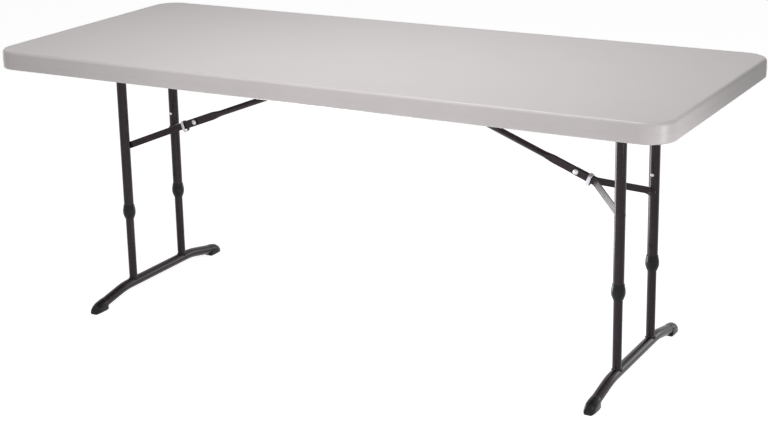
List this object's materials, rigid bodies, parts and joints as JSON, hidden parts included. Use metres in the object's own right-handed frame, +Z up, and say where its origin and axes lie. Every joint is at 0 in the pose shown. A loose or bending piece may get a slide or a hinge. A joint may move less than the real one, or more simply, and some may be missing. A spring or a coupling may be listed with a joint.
{
  "type": "folding buffet table",
  "caption": "Long folding table with a hollow moulded plastic top and arched steel leg frames that fold under it, with locking braces and push-button height setting.",
  "frame": {"origin": "on the floor under the middle of the top", "axes": "+X along the table, +Y across it towards the rear rim, +Z up"},
  "size_m": [1.829, 0.762, 0.726],
  "materials": {
    "moulded_plastic": "light warm grey, fine leathery moulded grain",
    "painted_steel": "dark bronze-charcoal powder coat, satin gloss",
    "zinc_plate": "bright zinc plate",
    "black_plastic": "black moulded plastic",
    "spring_steel": "bright spring steel"
  },
  "bodies": {
    "table": {"table_top": "moulded_plastic", "side_rail_front": "painted_steel", "side_rail_rear": "painted_steel", "centre_bracket": "painted_steel", "brace_pin_left": "zinc_plate", "brace_pin_right": "zinc_plate", "rail_screw_front_1": "zinc_plate", "rail_screw_front_2": "zinc_plate", "rail_screw_front_3": "zinc_plate", "bracket_screw_front_right": "zinc_plate", "bracket_screw_front_left": "zinc_plate", "rail_screw_rear_1": "zinc_plate", "rail_screw_rear_2": "zinc_plate", "rail_screw_rear_3": "zinc_plate", "bracket_screw_rear_right": "zinc_plate", "bracket_screw_rear_left": "zinc_plate"},
    "leg_frame_right": {"pivot_tube_right": "painted_steel", "upper_leg_front_right": "painted_steel", "upper_leg_rear_right": "painted_steel", "leg_collar_front_right": "black_plastic", "leg_collar_rear_right": "black_plastic"},
    "inner_frame_right": {"inner_leg_front_right": "painted_steel", "inner_leg_rear_right": "painted_steel", "foot_right": "painted_steel", "foot_cap_front_right": "black_plastic", "foot_cap_rear_right": "black_plastic"},
    "brace_arm_right": {"brace_right": "painted_steel", "brace_rivet_right": "zinc_plate"},
    "link_pair_right": {"link_front_right": "painted_steel", "link_rear_right": "painted_steel", "link_rivet_front_right": "painted_steel", "link_rivet_rear_right": "painted_steel"},
    "ring_slide_right": {"lock_ring_right": "zinc_plate"},
    "clip_front_right": {"snap_clip_front_right": "spring_steel"},
    "clip_rear_right": {"snap_clip_rear_right": "spring_steel"},
    "leg_frame_left": {"pivot_tube_left": "painted_steel", "upper_leg_front_left": "painted_steel", "upper_leg_rear_left": "painted_steel", "leg_collar_front_left": "black_plastic", "leg_collar_rear_left": "black_plastic"},
    "inner_frame_left": {"inner_leg_front_left": "painted_steel", "inner_leg_rear_left": "painted_steel", "foot_left": "painted_steel", "foot_cap_front_left": "black_plastic", "foot_cap_rear_left": "black_plastic"},
    "brace_arm_left": {"brace_left": "painted_steel", "brace_rivet_left": "zinc_plate"},
    "link_pair_left": {"link_front_left": "painted_steel", "link_rear_left": "painted_steel", "link_rivet_front_left": "painted_steel", "link_rivet_rear_left": "painted_steel"},
    "ring_slide_left": {"lock_ring_left": "zinc_plate"},
    "clip_front_left": {"snap_clip_front_left": "spring_steel"},
    "clip_rear_left": {"snap_clip_rear_left": "spring_steel"}
  },
  "joints": [
    {"name": "leg_fold_right", "type": "hinge", "parent": "table", "child": "leg_frame_right", "pos_m": [0.6904, 0, 0.684], "axis": [0, 1, 0], "range_deg": [0, 90]},
    {"name": "height_slide_right", "type": "slide", "parent": "leg_frame_right", "child": "inner_frame_right", "axis": [0, 0, 1], "range_m": [-0.178, 0.127], "deforming": ["snap_clip_front_right", "snap_clip_rear_right"]},
    {"name": "brace_swing_right", "type": "hinge", "parent": "table", "child": "brace_arm_right", "pos_m": [0.03, 0, 0.688], "axis": [0, 1, 0], "range_deg": [-20.25, 0]},
    {"name": "link_swing_right", "type": "hinge", "parent": "brace_arm_right", "child": "link_pair_right", "pos_m": [0.55706, 0, 0.48351], "axis": [0, 1, 0], "range_deg": [0, 173.6]},
    {"name": "ring_slide_right", "type": "slide", "parent": "brace_arm_right", "child": "ring_slide_right", "axis": [-0.9323, 0, 0.3617], "range_m": [0, 0.299]},
    {"name": "button_press_front_right", "type": "slide", "parent": "inner_frame_right", "child": "clip_front_right", "axis": [0, -1, 0], "range_m": [0, 0.0055], "stiffness_N_per_m": 900, "deforming": ["snap_clip_front_right"]},
    {"name": "button_press_rear_right", "type": "slide", "parent": "inner_frame_right", "child": "clip_rear_right", "axis": [0, 1, 0], "range_m": [0, 0.0055], "stiffness_N_per_m": 900, "deforming": ["snap_clip_rear_right"]},
    {"name": "leg_fold_left", "type": "hinge", "parent": "table", "child": "leg_frame_left", "pos_m": [-0.6904, 0, 0.684], "axis": [0, -1, 0], "range_deg": [0, 90]},
    {"name": "height_slide_left", "type": "slide", "parent": "leg_frame_left", "child": "inner_frame_left", "axis": [0, 0, 1], "range_m": [-0.178, 0.127], "deforming": ["snap_clip_front_left", "snap_clip_rear_left"]},
    {"name": "brace_swing_left", "type": "hinge", "parent": "table", "child": "brace_arm_left", "pos_m": [-0.03, 0, 0.688], "axis": [0, -1, 0], "range_deg": [-20.25, 0]},
    {"name": "link_swing_left", "type": "hinge", "parent": "brace_arm_left", "child": "link_pair_left", "pos_m": [-0.55706, 0, 0.48351], "axis": [0, -1, 0], "range_deg": [0, 173.6]},
    {"name": "ring_slide_left", "type": "slide", "parent": "brace_arm_left", "child": "ring_slide_left", "axis": [0.9323, 0, 0.3617], "range_m": [0, 0.299]},
    {"name": "button_press_front_left", "type": "slide", "parent": "inner_frame_left", "child": "clip_front_left", "axis": [0, -1, 0], "range_m": [0, 0.0055], "stiffness_N_per_m": 900, "deforming": ["snap_clip_front_left"]},
    {"name": "button_press_rear_left", "type": "slide", "parent": "inner_frame_left", "child": "clip_rear_left", "axis": [0, 1, 0], "range_m": [0, 0.0055], "stiffness_N_per_m": 900, "deforming": ["snap_clip_rear_left"]}
  ],
  "couplings": [
    {"joint": "brace_swing_right", "follows": "leg_fold_right", "ratio": -0.2245},
    {"joint": "link_swing_right", "follows": "leg_fold_right", "ratio": 1.9285},
    {"joint": "ring_slide_right", "follows": "leg_fold_right", "m_per_rad": 0.19},
    {"joint": "brace_swing_left", "follows": "leg_fold_left", "ratio": -0.2245},
    {"joint": "link_swing_left", "follows": "leg_fold_left", "ratio": 1.9285},
    {"joint": "ring_slide_left", "follows": "leg_fold_left", "m_per_rad": 0.19}
  ]
}
